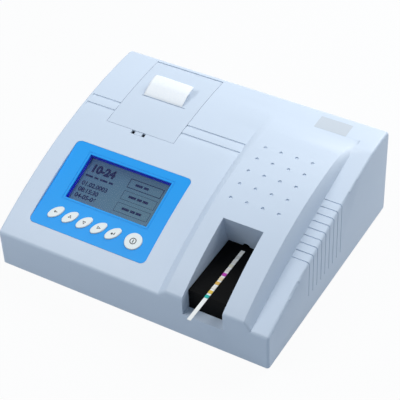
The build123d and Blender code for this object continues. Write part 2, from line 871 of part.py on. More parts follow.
def key_solid(place, outline):
    """One key: the cap that stands out of the panel and the square flange that keeps it in."""
    cap = outline(0)
    reach = cap.bounding_box().size
    with BuildPart() as key:
        with BuildSketch(panel_plane.offset(-panel_thickness - key_play)):
            with Locations(place):
                Rectangle(reach.X + 2 * key_flange, reach.Y + 2 * key_flange)
        extrude(amount=-key_flange_height)
        with BuildSketch(panel_plane.offset(-panel_thickness - key_play)):
            with Locations(place):
                add(cap)
        extrude(amount=panel_thickness + key_play + key_proud)
        chamfer(key.faces().sort_by(panel_axis)[-1].edges(), key_edge)
    return key.part


keys = [key_solid(place, oval) for place in key_places]
start_key = key_solid(start_place, disc)

with BuildPart() as key_board:
    with BuildSketch(panel_plane.offset(-panel_thickness - seat_thickness)):
        with Locations(keyway_middle):
            Rectangle(keyway_width + 2 * board_margin, keyway_height + 2 * board_margin)
    extrude(amount=-board_thickness)

# ---------------------------------------------------------------- printer door
with BuildPart() as printer_door:
    with BuildSketch(Plane.YZ.offset(door_left)):
        with BuildLine():
            middle = (door_front_y + hinge_y) / 2
            front_top = (door_front_y, crown_z(door_front_y))
            front_under = (door_front_y, crown_z(door_front_y) - door_thickness)
            rear_top = (hinge_y, crown_z(hinge_y))
            rear_under = (hinge_y, crown_z(hinge_y) - door_thickness)
            ThreePointArc(front_top, (middle, crown_z(middle)), rear_top)
            Line(rear_top, rear_under)
            ThreePointArc(rear_under, (middle, crown_z(middle) - door_thickness), front_under)
            Line(front_under, front_top)
        make_face()
        with Locations((hinge_y, hinge_z)):
            Circle(barrel_radius)
    extrude(amount=door_width)
    block(
        (slot_x - slot_length / 2, slot_y - slot_width / 2, crown_z(slot_y) - door_thickness - past),
        (slot_x + slot_length / 2, slot_y + slot_width / 2, roof),
        Mode.SUBTRACT,
    )
    for bore_x in (door_left, door_right - hinge_bore_depth):
        rod(
            (bore_x, hinge_y, hinge_z), hinge_pin_radius + fit_gap, hinge_bore_depth, along_x,
            Mode.SUBTRACT,
        )

with BuildPart() as door_tab:
    with BuildSketch(Plane.YZ.offset(finger_x - tab_width / 2)):
        with BuildLine():
            Polyline(
                (tab_front_y, crown_z(tab_front_y) - tab_sink),
                (door_front_y, crown_z(door_front_y) - tab_sink),
                (door_front_y, crown_z(door_front_y) - door_thickness),
                (tab_rear_y, crown_z(tab_rear_y) - door_thickness - fit_gap),
                (tab_rear_y, crown_z(door_front_y) - door_thickness - tab_thickness),
                (tab_front_y, crown_z(tab_front_y) - door_thickness - tab_thickness),
                close=True,
            )
        make_face()
    extrude(amount=tab_width)

with BuildPart() as door_pins:
    for pin_x in (door_left - door_gap - ear_width, door_right + door_gap + ear_width - hinge_pin_length):
        rod((pin_x, hinge_y, hinge_z), hinge_pin_radius, hinge_pin_length, along_x)

# ---------------------------------------------------------------- printer bay, roll and paper
with BuildPart() as printer_bay:
    with BuildSketch(Plane.YZ.offset(bay_left)):
        with BuildLine():
            middle = (bay_front_y + bay_rear_y) / 2
            front_top = (bay_front_y, crown_z(bay_front_y) - wall)
            rear_top = (bay_rear_y, crown_z(bay_rear_y) - wall)
            ThreePointArc(front_top, (middle, crown_z(middle) - wall), rear_top)
            Line(rear_top, (bay_rear_y, bay_floor - bay_wall))
            Line((bay_rear_y, bay_floor - bay_wall), (bay_front_y, bay_floor - bay_wall))
            Line((bay_front_y, bay_floor - bay_wall), front_top)
        make_face()
    extrude(amount=bay_right - bay_left)
    block(
        (bay_left + bay_wall, bay_front_y + bay_wall, bay_floor),
        (bay_right - bay_wall, bay_rear_y - bay_wall, roof),
        Mode.SUBTRACT,
    )
    block(
        (bay_left, roll_axis_y - spindle_radius - fit_gap, roll_z),
        (bay_right, roll_axis_y + spindle_radius + fit_gap, roof),
        Mode.SUBTRACT,
    )
    rod(
        (bay_left, roll_axis_y, roll_z), spindle_radius + fit_gap, bay_right - bay_left, along_x,
        Mode.SUBTRACT,
    )

with BuildPart() as roll_spindle:
    rod((bay_left, roll_axis_y, roll_z), spindle_radius, bay_right - bay_left, along_x)

with BuildPart() as roll_core:
    rod((paper_left, roll_axis_y, roll_z), core_radius, paper_width, along_x)
    rod(
        (paper_left, roll_axis_y, roll_z), spindle_radius + fit_gap, paper_width, along_x, Mode.SUBTRACT
    )

with BuildPart() as paper_roll:
    rod((paper_left, roll_axis_y, roll_z), roll_radius, paper_width, along_x)
    rod((paper_left, roll_axis_y, roll_z), core_radius, paper_width, along_x, Mode.SUBTRACT)

with BuildPart() as paper_web:
    with BuildSketch(Plane.YZ.offset(paper_left)):
        with BuildLine() as web_path:
            reach = (roll_radius + paper_clear + paper_thickness / 2) / sqrt(2)
            start = (roll_axis_y - reach, roll_z - reach)
            corner = (paper_middle_y, start[1] + start[0] - paper_middle_y)
            FilletPolyline(start, corner, (paper_middle_y, door_under_z - paper_clear), radius=web_bend)
        trace(web_path.line, paper_thickness)
    extrude(amount=paper_width)

with BuildPart() as paper_slip:
    with BuildSketch(Plane.YZ.offset(paper_left)):
        with BuildLine() as slip_path:
            surface_z = crown_z(slot_y)
            FilletPolyline(
                (paper_middle_y, door_under_z),
                (paper_middle_y, surface_z + slip_lift),
                (paper_middle_y + slip_knee_run, surface_z + slip_knee_rise),
                (paper_middle_y + slip_run, surface_z + slip_rise),
                radius=slip_bend,
            )
        trace(slip_path.line, paper_thickness)
    extrude(amount=paper_width)

# ---------------------------------------------------------------- printing mechanism
with BuildPart() as printer_frame:
    for plate_x in (frame_left, frame_right - frame_wall):
        block(
            (plate_x, platen_y - frame_front, bay_floor),
            (plate_x + frame_wall, platen_y + frame_rear, bay_floor + frame_height),
        )
    block(
        (frame_left, platen_y - frame_front, bay_floor),
        (frame_right, platen_y + frame_rear, bay_floor + frame_wall),
    )
    rod(
        (frame_left, platen_y, platen_z), shaft_radius + fit_gap, frame_right - frame_left, along_x,
        Mode.SUBTRACT,
    )
    rod((gear_x, *idler_place), shaft_radius, frame_left - gear_x, along_x)
    rod((frame_left, *motor_place), motor_shaft_radius + fit_gap, frame_wall, along_x, Mode.SUBTRACT)

with BuildPart() as print_head:
    block(
        (frame_left + frame_wall, head_front_y, platen_z - head_height / 3),
        (frame_right - frame_wall, head_front_y + head_depth, platen_z + 2 * head_height / 3),
    )

with BuildPart() as platen_roller:
    rod((paper_x - platen_length / 2, platen_y, platen_z), platen_radius, platen_length, along_x)
    rod((gear_x, platen_y, platen_z), shaft_radius, frame_right - gear_x, along_x)

with BuildPart() as platen_gear:
    with BuildSketch(Plane.YZ.offset(gear_x)):
        with BuildLine():
            Polyline(
                *gear_outline(platen_teeth, gear_module, (platen_y, platen_z), idler_angle), close=True
            )
        make_face()
        with Locations((platen_y, platen_z)):
            Circle(shaft_radius, mode=Mode.SUBTRACT)
    extrude(amount=gear_width)

with BuildPart() as idler_gear:
    with BuildSketch(Plane.YZ.offset(gear_x)):
        with BuildLine():
            Polyline(*gear_outline(idler_teeth, gear_module, idler_place, idler_first), close=True)
        make_face()
        with Locations(idler_place):
            Circle(shaft_radius + fit_gap, mode=Mode.SUBTRACT)
    extrude(amount=gear_width)

with BuildPart() as motor_gear:
    with BuildSketch(Plane.YZ.offset(gear_x)):
        with BuildLine():
            Polyline(*gear_outline(motor_teeth, gear_module, motor_place, motor_first), close=True)
        make_face()
    extrude(amount=gear_width)
    rod((gear_x, *motor_place), motor_shaft_radius, motor_shaft_length, along_x)

with BuildPart() as printer_motor:
    rod((frame_left + frame_wall, *motor_place), motor_radius, motor_length, along_x)
    rod(
        (frame_left + frame_wall, *motor_place),
        motor_shaft_radius + fit_gap,
        gear_x + motor_shaft_length + slide_gap - frame_left - frame_wall,
        along_x,
        Mode.SUBTRACT,
    )

# ---------------------------------------------------------------- strip tray and its drive
with BuildPart() as strip_tray:
    block((tray_left, tray_front_y, tray_under), (tray_right, tray_front_y + tray_length, tray_top))
    for rib_x in (tray_left + bed_wall + slide_gap, tray_right - bed_wall - slide_gap - tray_rib):
        block(
            (rib_x, tray_front_y + rack_margin, tray_under - tray_rib_height),
            (rib_x + tray_rib, tray_front_y + tray_length, tray_under),
        )
    block(
        (strip_x - strip_width / 2 - slide_gap, tray_front_y, tray_top - strip_seat),
        (strip_x + strip_width / 2 + slide_gap, strip_front_y + strip_length + slide_gap, tray_top),
        Mode.SUBTRACT,
    )

with BuildPart() as test_strip:
    block(
        (strip_x - strip_width / 2, strip_front_y, strip_z),
        (strip_x + strip_width / 2, strip_front_y + strip_length, strip_z + strip_base),
    )

with BuildPart() as reagent_pads:
    for index in range(pad_count):
        pad_y = strip_front_y + pad_first + index * pad_pitch
        block(
            (strip_x - pad_size / 2, pad_y - pad_size / 2, strip_z + strip_base),
            (strip_x + pad_size / 2, pad_y + pad_size / 2, strip_z + strip_base + pad_height),
        )

with BuildPart() as tray_rack:
    with BuildSketch(Plane.XY.offset(tray_under - rack_height)):
        with BuildLine():
            Polyline(
                *rack_outline(rack_x, rack_pitch_x, tray_front_y + rack_margin, rack_teeth, rack_module),
                close=True,
            )
        make_face()
    extrude(amount=rack_height)

with BuildPart() as tray_bed:
    block((tray_left, tray_front_y, pan_top), (tray_right, tray_front_y + bed_length, tray_under))
    block(
        (tray_left + bed_wall, tray_front_y + bed_wall, bed_plate_top),
        (tray_right - bed_wall, tray_front_y + bed_length, tray_under),
        Mode.SUBTRACT,
    )
    block(
        (tray_left + bed_wall, tray_front_y + bed_wall, pan_top),
        (tray_right - bed_wall, tray_front_y + bed_length, bed_plate_top - bed_plate),
        Mode.SUBTRACT,
    )
    rod(
        (pinion_x, pinion_y, bed_plate_top - bed_plate), pinion_shaft + fit_gap, bed_plate, upright,
        Mode.SUBTRACT,
    )

with BuildPart() as tray_motor:
    rod(
        (pinion_x, pinion_y, bed_plate_top - bed_plate - drive_motor_length),
        drive_motor_radius,
        drive_motor_length,
    )
    rod(
        (pinion_x, pinion_y, pinion_z - pinion_shaft_length - slide_gap),
        pinion_shaft + fit_gap,
        pinion_shaft_length,
        upright,
        Mode.SUBTRACT,
    )

with BuildPart() as tray_pinion:
    with BuildSketch(Plane.XY.offset(pinion_z)):
        with BuildLine():
            Polyline(*gear_outline(pinion_teeth, rack_module, (pinion_x, pinion_y), half_turn), close=True)
        make_face()
    extrude(amount=pinion_width)
    rod((pinion_x, pinion_y, pinion_z - pinion_shaft_length), pinion_shaft, pinion_shaft_length)

# ---------------------------------------------------------------- inlet, switch and port in the rear
with BuildPart() as power_inlet:
    port_block(inlet_x, inlet_width, inlet_height, rear_y - inlet_depth, rear_y)
    port_block(
        inlet_x,
        inlet_width + 2 * flange_margin,
        inlet_height + 2 * flange_margin,
        rear_y - flange_thickness,
        rear_y,
    )
    mouth_y = rear_y - inlet_mouth_depth
    port_block(inlet_x, inlet_mouth_width, inlet_mouth_height, mouth_y, rear_y, Mode.SUBTRACT)
    for pin in range(-1, 2):
        pin_x = inlet_x + pin * inlet_pin_pitch
        pin_z = port_z + (1 - 2 * abs(pin)) * inlet_pin_shift
        block(
            (pin_x - inlet_pin_width / 2, mouth_y, pin_z - inlet_pin_height / 2),
            (pin_x + inlet_pin_width / 2, mouth_y + inlet_pin_length, pin_z + inlet_pin_height / 2),
        )

with BuildPart() as switch_frame:
    port_block(switch_x, switch_width, switch_height, rear_y - switch_depth, rear_y)
    port_block(
        switch_x,
        switch_width + 2 * flange_margin,
        switch_height + 2 * flange_margin,
        rear_y - flange_thickness,
        rear_y,
    )
    port_block(
        switch_x,
        switch_width - 2 * switch_wall,
        switch_height - 2 * switch_wall,
        rear_y - switch_depth + switch_wall,
        rear_y,
        Mode.SUBTRACT,
    )
    rod(
        (switch_x - rocker_width / 2 - slide_gap, rocker_y, port_z), rocker_pin_radius, rocker_pin_length,
        along_x,
    )
    rod(
        (switch_x + rocker_width / 2 + slide_gap - rocker_pin_length, rocker_y, port_z),
        rocker_pin_radius,
        rocker_pin_length,
        along_x,
    )

with BuildPart() as power_rocker:
    with BuildSketch(Plane.YZ.offset(switch_x - rocker_width / 2)):
        with BuildLine():
            Polyline(*rocker_outline, close=True)
        make_face()
    extrude(amount=rocker_width)
    for bore_x in (switch_x - rocker_width / 2, switch_x + rocker_width / 2 - rocker_pin_length):
        rod(
            (bore_x, rocker_y, port_z), rocker_pin_radius + fit_gap, rocker_pin_length, along_x,
            Mode.SUBTRACT,
        )

with BuildPart() as serial_port:
    plate_y = rear_y - serial_pocket + flange_thickness
    port_block(serial_x, serial_width, serial_height, rear_y - serial_pocket, plate_y)
    with BuildSketch(across(plate_y)):
        with Locations((serial_x, port_z)):
            Trapezoid(serial_shell_width, serial_shell_height, serial_flank, rotation=half_turn)
            Trapezoid(
                serial_shell_width - 2 * serial_shell_wall,
                serial_shell_height - 2 * serial_shell_wall,
                serial_flank,
                rotation=half_turn,
                mode=Mode.SUBTRACT,
            )
    extrude(amount=-serial_shell_length)

# ---------------------------------------------------------------- one file for each piece
pieces = {
    "top_cover": top_cover.part,
    "base_pan": base_pan.part,
    "rubber_feet": rubber_feet.part,
    "case_screws": case_screws.part,
    "keypad_panel": keypad_panel.part,
    "lcd_window": lcd_window.part,
    "lcd_frame": lcd_frame.part,
    "lcd_screen": lcd_screen.part,
    "key_back": keys[0],
    "key_up": keys[1],
    "key_down": keys[2],
    "key_forward": keys[3],
    "key_enter": keys[4],
    "start_key": start_key,
    "key_board": key_board.part,
    "printer_door": printer_door.part,
    "door_tab": door_tab.part,
    "door_pins": door_pins.part,
    "printer_bay": printer_bay.part,
    "roll_spindle": roll_spindle.part,
    "roll_core": roll_core.part,
    "paper_roll": paper_roll.part,
    "paper_web": paper_web.part,
    "paper_slip": paper_slip.part,
    "printer_frame": printer_frame.part,
    "print_head": print_head.part,
    "platen_roller": platen_roller.part,
    "platen_gear": platen_gear.part,
    "idler_gear": idler_gear.part,
    "motor_gear": motor_gear.part,
    "printer_motor": printer_motor.part,
    "strip_tray": strip_tray.part,
    "test_strip": test_strip.part,
    "reagent_pads": reagent_pads.part,
    "tray_rack": tray_rack.part,
    "tray_bed": tray_bed.part,
    "tray_motor": tray_motor.part,
    "tray_pinion": tray_pinion.part,
    "power_inlet": power_inlet.part,
    "switch_frame": switch_frame.part,
    "power_rocker": power_rocker.part,
    "serial_port": serial_port.part,
}
for name, piece in pieces.items():
    piece.label = name
    export_step(piece, f"parts/{name}.step")
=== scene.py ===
# %% [markdown]
# # A bench-top strip analyzer, dressed for its picture
# The solids come from the CAD model and stay where they are. This lesson gives them finishes,
# rounds their shading, and adds the thin things that CAD leaves out: printed signs on the keys,
# the picture on the screen, the curl of the paper, and the colours of the test strip.

# %% Load the frame
import json
from math import atan2, cos, degrees, radians, sin

import bmesh
import bpy
from mathutils import Matrix, Vector
from mathutils.bvhtree import BVHTree
from mathutils.geometry import interpolate_bezier

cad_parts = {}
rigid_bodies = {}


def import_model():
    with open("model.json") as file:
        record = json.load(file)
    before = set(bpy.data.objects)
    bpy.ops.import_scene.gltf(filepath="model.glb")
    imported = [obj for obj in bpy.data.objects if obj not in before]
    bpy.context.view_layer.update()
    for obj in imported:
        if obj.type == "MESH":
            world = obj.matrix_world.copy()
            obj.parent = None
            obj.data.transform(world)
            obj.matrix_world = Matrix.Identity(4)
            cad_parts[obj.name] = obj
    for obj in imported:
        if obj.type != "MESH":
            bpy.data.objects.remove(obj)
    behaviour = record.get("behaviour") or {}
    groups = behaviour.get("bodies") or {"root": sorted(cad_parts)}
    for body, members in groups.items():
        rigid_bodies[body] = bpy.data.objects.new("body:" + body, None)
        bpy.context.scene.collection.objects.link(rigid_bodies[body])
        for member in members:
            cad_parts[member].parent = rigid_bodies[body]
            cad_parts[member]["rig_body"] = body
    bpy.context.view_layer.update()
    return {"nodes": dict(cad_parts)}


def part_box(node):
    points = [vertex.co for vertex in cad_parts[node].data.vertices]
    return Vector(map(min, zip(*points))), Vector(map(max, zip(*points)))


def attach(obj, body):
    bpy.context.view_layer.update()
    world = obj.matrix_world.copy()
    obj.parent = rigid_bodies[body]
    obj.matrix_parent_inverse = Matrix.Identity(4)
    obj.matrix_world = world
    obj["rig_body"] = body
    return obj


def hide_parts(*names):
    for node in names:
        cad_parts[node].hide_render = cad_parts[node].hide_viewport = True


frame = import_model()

MM = 0.001
nodes = frame["nodes"]
body_of_node = {name: node["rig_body"] for name, node in nodes.items()}

# %% [markdown]
# ## Finishes
# Every finish is a small node tree. Moulded plastic is never one flat colour: the mould leaves a
# fine grain, the colour drifts a little over the hood, and the gloss is uneven where hands touch
# it. A Bevel node rounds the shading of the edges, because no moulded edge is knife sharp.


# %% Helpers for node trees
def finish(name):
    """A new material with an empty Principled shader, and short hands for its tree."""
    material = bpy.data.materials.new(name)
    material.use_nodes = True
    tree = material.node_tree
    return material, tree, tree.nodes["Principled BSDF"]


def add(tree, kind, **values):
    """A node of one kind, with its sockets or properties set by name."""
    node = tree.nodes.new(kind)
    for key, value in values.items():
        if key in node.inputs:
            node.inputs[key].default_value = value
        else:
            setattr(node, key, value)
    return node


def place(tree, scale):
    """Object coordinates, stretched by a scale."""
    where = add(tree, "ShaderNodeTexCoord")
    mapping = add(tree, "ShaderNodeMapping")
    mapping.inputs["Scale"].default_value = scale
    tree.links.new(where.outputs["Object"], mapping.inputs["Vector"])
    return mapping.outputs["Vector"]


def drift(tree, vector, scale, low, high):
    """Slow noise that runs between two colours."""
    noise = add(tree, "ShaderNodeTexNoise", Scale=scale, Detail=3.0)
    ramp = add(tree, "ShaderNodeValToRGB")
    ramp.color_ramp.elements[0].position = 0.3
    ramp.color_ramp.elements[1].position = 0.7
    ramp.color_ramp.elements[0].color = (*low, 1)
    ramp.color_ramp.elements[1].color = (*high, 1)
    tree.links.new(vector, noise.inputs["Vector"])
    tree.links.new(noise.outputs["Fac"], ramp.inputs["Fac"])
    return ramp.outputs["Color"]


def uneven(tree, vector, scale, low, high):
    """Noise that runs between two values, for roughness."""
    noise = add(tree, "ShaderNodeTexNoise", Scale=scale, Detail=4.0)
    span = add(tree, "ShaderNodeMapRange")
    span.inputs["To Min"].default_value = low
    span.inputs["To Max"].default_value = high
    tree.links.new(vector, noise.inputs["Vector"])
    tree.links.new(noise.outputs["Fac"], span.inputs["Value"])
    return span.outputs["Result"]


def grain(tree, shader, vector, scale, depth, edge):
    """A fine bump on softly rounded edges."""
    noise = add(tree, "ShaderNodeTexNoise", Scale=scale, Detail=2.0)
    bump = add(tree, "ShaderNodeBump", Strength=1.0, Distance=depth)
    tree.links.new(vector, noise.inputs["Vector"])
    tree.links.new(noise.outputs["Fac"], bump.inputs["Height"])
    if edge > 0:
        bevel = add(tree, "ShaderNodeBevel", samples=4, Radius=edge)
        tree.links.new(bevel.outputs["Normal"], bump.inputs["Normal"])
    tree.links.new(bump.outputs["Normal"], shader.inputs["Normal"])
    return bump


def shade(colour, factor):
    """A colour made a little lighter or darker."""
    return tuple(min(1.0, part * factor) for part in colour)


# %% A finish for moulded plastic
def moulded(
    name, colour, rough, spread=0.03, grain_scale=1400, depth=0.02 * MM, edge=0.5 * MM, shine=0.5
):
    """Moulded plastic: drifting colour, uneven gloss, fine grain and rounded edges."""
    material, tree, shader = finish(name)
    shader.inputs["Specular IOR Level"].default_value = shine
    vector = place(tree, (1, 1, 1))
    colours = drift(tree, vector, 9.0, shade(colour, 1 - spread), shade(colour, 1 + spread))
    tree.links.new(colours, shader.inputs["Base Color"])
    gloss = uneven(tree, vector, 60.0, rough - 0.05, rough + 0.06)
    tree.links.new(gloss, shader.inputs["Roughness"])
    grain(tree, shader, vector, grain_scale, depth, edge)
    return material


hood_grey = (0.600, 0.680, 0.790)
hood_plastic = moulded("hood_plastic", hood_grey, rough=0.44, spread=0.012)
door_plastic = moulded("door_plastic", shade(hood_grey, 0.97), rough=0.46, spread=0.012)
key_plastic = moulded("key_plastic", (0.80, 0.84, 0.83), rough=0.30, spread=0.01, depth=0.01 * MM)
tray_black = (0.0015, 0.0017, 0.002)
tray_plastic = moulded(
    "tray_plastic", tray_black, rough=0.5, spread=0.1, grain_scale=900, shine=0.05
)
dark_grey = (0.025, 0.027, 0.03)
dark_plastic = moulded("dark_plastic", dark_grey, rough=0.5, spread=0.1, grain_scale=900)
fine_edge = 0.2 * MM
gear_plastic = moulded("gear_plastic", (0.72, 0.70, 0.62), rough=0.38, spread=0.02, edge=fine_edge)
foot_rubber = moulded(
    "foot_rubber", (0.02, 0.02, 0.02), rough=0.8, spread=0.15, grain_scale=500, depth=0.1 * MM
)
platen_rubber = moulded(
    "platen_rubber", (0.03, 0.03, 0.032), rough=0.72, spread=0.12, grain_scale=700
)
head_ceramic = moulded("head_ceramic", (0.55, 0.56, 0.52), rough=0.25, edge=fine_edge)
surround_blue = (0.0, 0.004, 0.75)
surround_plastic = moulded("surround_plastic", surround_blue, rough=0.4, spread=0.05, shine=0.3)
print("plastics and rubbers made")

# %% [markdown]
# Plated steel, screws and brass are bare metal. Rolling or turning leaves fine marks in it, so the
# noise is drawn out along one axis where the piece was rolled, and the gloss varies with it.


# %% A finish for metals
def metal(name, colour, rough, brushed=(1, 1, 1)):
    """Bare metal with fine marks drawn out along one axis by the scale."""
    material, tree, shader = finish(name)
    shader.inputs["Metallic"].default_value = 1.0
    vector = place(tree, brushed)
    colours = drift(tree, vector, 25.0, shade(colour, 0.93), shade(colour, 1.04))
    tree.links.new(colours, shader.inputs["Base Color"])
    gloss = uneven(tree, vector, 400.0, rough - 0.07, rough + 0.1)
    tree.links.new(gloss, shader.inputs["Roughness"])
    grain(tree, shader, vector, 2500, 0.004 * MM, fine_edge)
    return material


plated_steel = metal("plated_steel", (0.60, 0.61, 0.62), 0.32, brushed=(0.1, 1, 1))
screw_steel = metal("screw_steel", (0.50, 0.50, 0.52), 0.35)
gear_brass = metal("gear_brass", (0.78, 0.60, 0.28), 0.3)
print("metals made")

# %% [markdown]
# The keypad is a printed sheet with a satin varnish. Its blue is nearly even: it is the varnish
# that varies, so its grain is shallow and its gloss low.
# The screen window is clear, so it is almost all alpha: a trace of surface that catches light.


# %% Sheet, window, card and paper
sheet_blue = (0.005, 0.335, 0.86)
panel_blue = moulded("panel_blue", sheet_blue, rough=0.34, depth=0.01 * MM, shine=0.3)

clear_window, tree, shader = finish("clear_window")
shader.inputs["Base Color"].default_value = (0.05, 0.08, 0.12, 1)
shader.inputs["Alpha"].default_value = 0.07
vector = place(tree, (1, 1, 1))
tree.links.new(uneven(tree, vector, 30.0, 0.06, 0.12), shader.inputs["Roughness"])

roll_card, tree, shader = finish("roll_card")
vector = place(tree, (6, 1, 1))
card_brown = drift(tree, vector, 300.0, (0.30, 0.20, 0.11), (0.42, 0.30, 0.18))
tree.links.new(card_brown, shader.inputs["Base Color"])
shader.inputs["Roughness"].default_value = 0.85
grain(tree, shader, vector, 900, 0.05 * MM, 0)

# %% [markdown]
# Thermal paper is smooth and white, with fibres that are only just felt. Seen from its end a roll
# shows its turns as rings, and a ring wave round the roll's axis gives them without any geometry.


# %% Paper: white fibres, and rings on the roll's end faces
def paper(name, ringed):
    """Thermal paper; on the roll, rings round its axis show the turns."""
    material, tree, shader = finish(name)
    vector = place(tree, (1, 1, 1))
    colours = drift(tree, vector, 500.0, (0.90, 0.92, 0.95), (0.95, 0.96, 0.97))
    shader.inputs["Roughness"].default_value = 0.7
    tree.links.new(colours, shader.inputs["Base Color"])
    bump = grain(tree, shader, vector, 1800, 0.02 * MM, 0)
    if ringed:
        low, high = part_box("paper_roll")
        centre = (low + high) / 2
        where = add(tree, "ShaderNodeTexCoord")
        shifted = add(tree, "ShaderNodeMapping")
        shifted.inputs["Location"].default_value = -centre
        rings = add(tree, "ShaderNodeTexWave", wave_type="RINGS", rings_direction="X", Scale=420.0)
        rings.inputs["Distortion"].default_value = 0.6
        tree.links.new(where.outputs["Object"], shifted.inputs["Vector"])
        tree.links.new(shifted.outputs["Vector"], rings.inputs["Vector"])
        bump.inputs["Distance"].default_value = 0.12 * MM
        tree.links.new(rings.outputs["Fac"], bump.inputs["Height"])
    return material


slip_paper = paper("slip_paper", False)
roll_paper = paper("roll_paper", True)
print("sheets and papers made")

# %% [markdown]
# A circuit board is green lacquer over copper. Square cells with thin lines between them read as
# tracks from a step away, so a brick pattern with narrow mortar is enough.

# %% Circuit board
circuit_board, tree, shader = finish("circuit_board")
vector = place(tree, (1, 1, 1))
tracks = add(tree, "ShaderNodeTexBrick", Scale=120.0)
tracks.inputs["Color1"].default_value = (0.01, 0.12, 0.04, 1)
tracks.inputs["Color2"].default_value = (0.015, 0.16, 0.05, 1)
tracks.inputs["Mortar"].default_value = (0.05, 0.26, 0.09, 1)
tracks.inputs["Mortar Size"].default_value = 0.04
tree.links.new(vector, tracks.inputs["Vector"])
tree.links.new(tracks.outputs["Color"], shader.inputs["Base Color"])
tree.links.new(uneven(tree, vector, 200.0, 0.25, 0.4), shader.inputs["Roughness"])

# %% [markdown]
# ## The test strip
# Eleven pads lie along the strip, each with its own reagent colour. The pads are one node, so the
# colour has to come from the place along the strip: a ramp with hard steps, read along Y.

# %% Strip and pads
strip_film = moulded("strip_film", (0.80, 0.80, 0.78), rough=0.35, spread=0.015, edge=0.1 * MM)

pad_colours = (
    (0.02, 0.42, 0.36),
    (0.72, 0.50, 0.08),
    (0.80, 0.76, 0.70),
    (0.70, 0.42, 0.10),
    (0.80, 0.66, 0.42),
    (0.52, 0.05, 0.42),
    (0.78, 0.72, 0.66),
    (0.74, 0.70, 0.56),
    (0.80, 0.76, 0.70),
    (0.66, 0.64, 0.60),
    (0.80, 0.78, 0.72),
)
reagent, tree, shader = finish("reagent_pads")
low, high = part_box("reagent_pads")
where = add(tree, "ShaderNodeTexCoord")
split = add(tree, "ShaderNodeSeparateXYZ")
along = add(tree, "ShaderNodeMapRange")
pad_length = 5 * MM
pitch = (high.y - low.y - pad_length) / (len(pad_colours) - 1)
overhang = (pitch - pad_length) / 2
along.inputs["From Min"].default_value = low.y - overhang
along.inputs["From Max"].default_value = high.y + overhang
ramp = add(tree, "ShaderNodeValToRGB")
ramp.color_ramp.interpolation = "CONSTANT"
stops = ramp.color_ramp.elements
stops.remove(stops[1])
for index, colour in enumerate(pad_colours):
    stop = stops[0] if index == 0 else stops.new(index / len(pad_colours))
    stop.color = (*colour, 1)
tree.links.new(where.outputs["Object"], split.inputs["Vector"])
tree.links.new(split.outputs["Y"], along.inputs["Value"])
tree.links.new(along.outputs["Result"], ramp.inputs["Fac"])
tree.links.new(ramp.outputs["Color"], shader.inputs["Base Color"])
shader.inputs["Roughness"].default_value = 0.95
grain(tree, shader, place(tree, (1, 1, 1)), 3000, 0.06 * MM, fine_edge)
print("pads", len(pad_colours), "pitch mm", round(pitch / MM, 2))

# %% [markdown]
# ## Smooth shading
# A CAD node comes as loose triangles, so its curves would show facets. A copy whose doubles are
# merged can be shaded smooth, with the real edges kept sharp by their angle.


# %% A merged copy of a node
sharp_angle = radians(24.0)


def as_piece(name, bm, material):
    """An object made from a bmesh, with its place in its mesh."""
    mesh = bpy.data.meshes.new(name)
    bm.to_mesh(mesh)
    bm.free()
    mesh.materials.append(material)
    piece = bpy.data.objects.new(name, mesh)
    bpy.context.scene.collection.objects.link(piece)
    return piece


def smooth_copy(node, material):
    """A merged copy that stands for a CAD node, smooth except at edges over an angle."""
    bm = bmesh.new()
    bm.from_mesh(nodes[node].data)
    bmesh.ops.remove_doubles(bm, verts=bm.verts, dist=1e-6)
    bmesh.ops.dissolve_degenerate(bm, edges=bm.edges, dist=1e-7)
    for face in bm.faces:
        face.smooth = True
    for edge in bm.edges:
        edge.smooth = edge.is_manifold and edge.calc_face_angle(0) < sharp_angle
    piece = as_piece(node + "_smooth", bm, material)
    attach(piece, body_of_node[node])
    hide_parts(node)
    return piece


smooth_finishes = {
    "top_cover": hood_plastic,
    "printer_door": door_plastic,
    "key_back": key_plastic,
    "key_up": key_plastic,
    "key_down": key_plastic,
    "key_forward": key_plastic,
    "key_enter": key_plastic,
    "start_key": key_plastic,
    "paper_roll": roll_paper,
    "roll_core": roll_card,
    "roll_spindle": dark_plastic,
    "platen_roller": platen_rubber,
    "printer_motor": plated_steel,
    "tray_motor": plated_steel,
    "rubber_feet": foot_rubber,
    "power_rocker": tray_plastic,
    "case_screws": screw_steel,
    "door_pins": screw_steel,
}
for name, material in smooth_finishes.items():
    smooth_copy(name, material)
print("smooth copies", len(smooth_finishes))

# %% [markdown]
# Flat pieces keep their CAD mesh, because flat faces need no smoothing. They only get a finish.

# %% Finishes on the CAD nodes
flat_finishes = {
    "base_pan": hood_plastic,
    "keypad_panel": panel_blue,
    "lcd_window": clear_window,
    "lcd_frame": surround_plastic,
    "key_board": circuit_board,
    "door_tab": door_plastic,
    "printer_bay": dark_plastic,
    "printer_frame": plated_steel,
    "print_head": head_ceramic,
    "platen_gear": gear_plastic,
    "idler_gear": gear_plastic,
    "motor_gear": gear_brass,
    "strip_tray": tray_plastic,
    "test_strip": strip_film,
    "reagent_pads": reagent,
    "tray_rack": gear_plastic,
    "tray_bed": tray_plastic,
    "tray_pinion": gear_brass,
    "power_inlet": dark_plastic,
    "switch_frame": dark_plastic,
    "serial_port": plated_steel,
}


def dress(node, material):
    """Puts a finish on a CAD node's own object."""
    slots = nodes[node].data.materials
    slots.clear()
    slots.append(material)


for name, material in flat_finishes.items():
    dress(name, material)
print("flat pieces dressed", len(flat_finishes))

# %% [markdown]
# ## The keypad's own plane
# Keys, signs and the screen's picture all lie along the tilted panel. Its plane is read from the
# panel's mesh: the faces that look up share one normal, and the lowest corner gives the start.

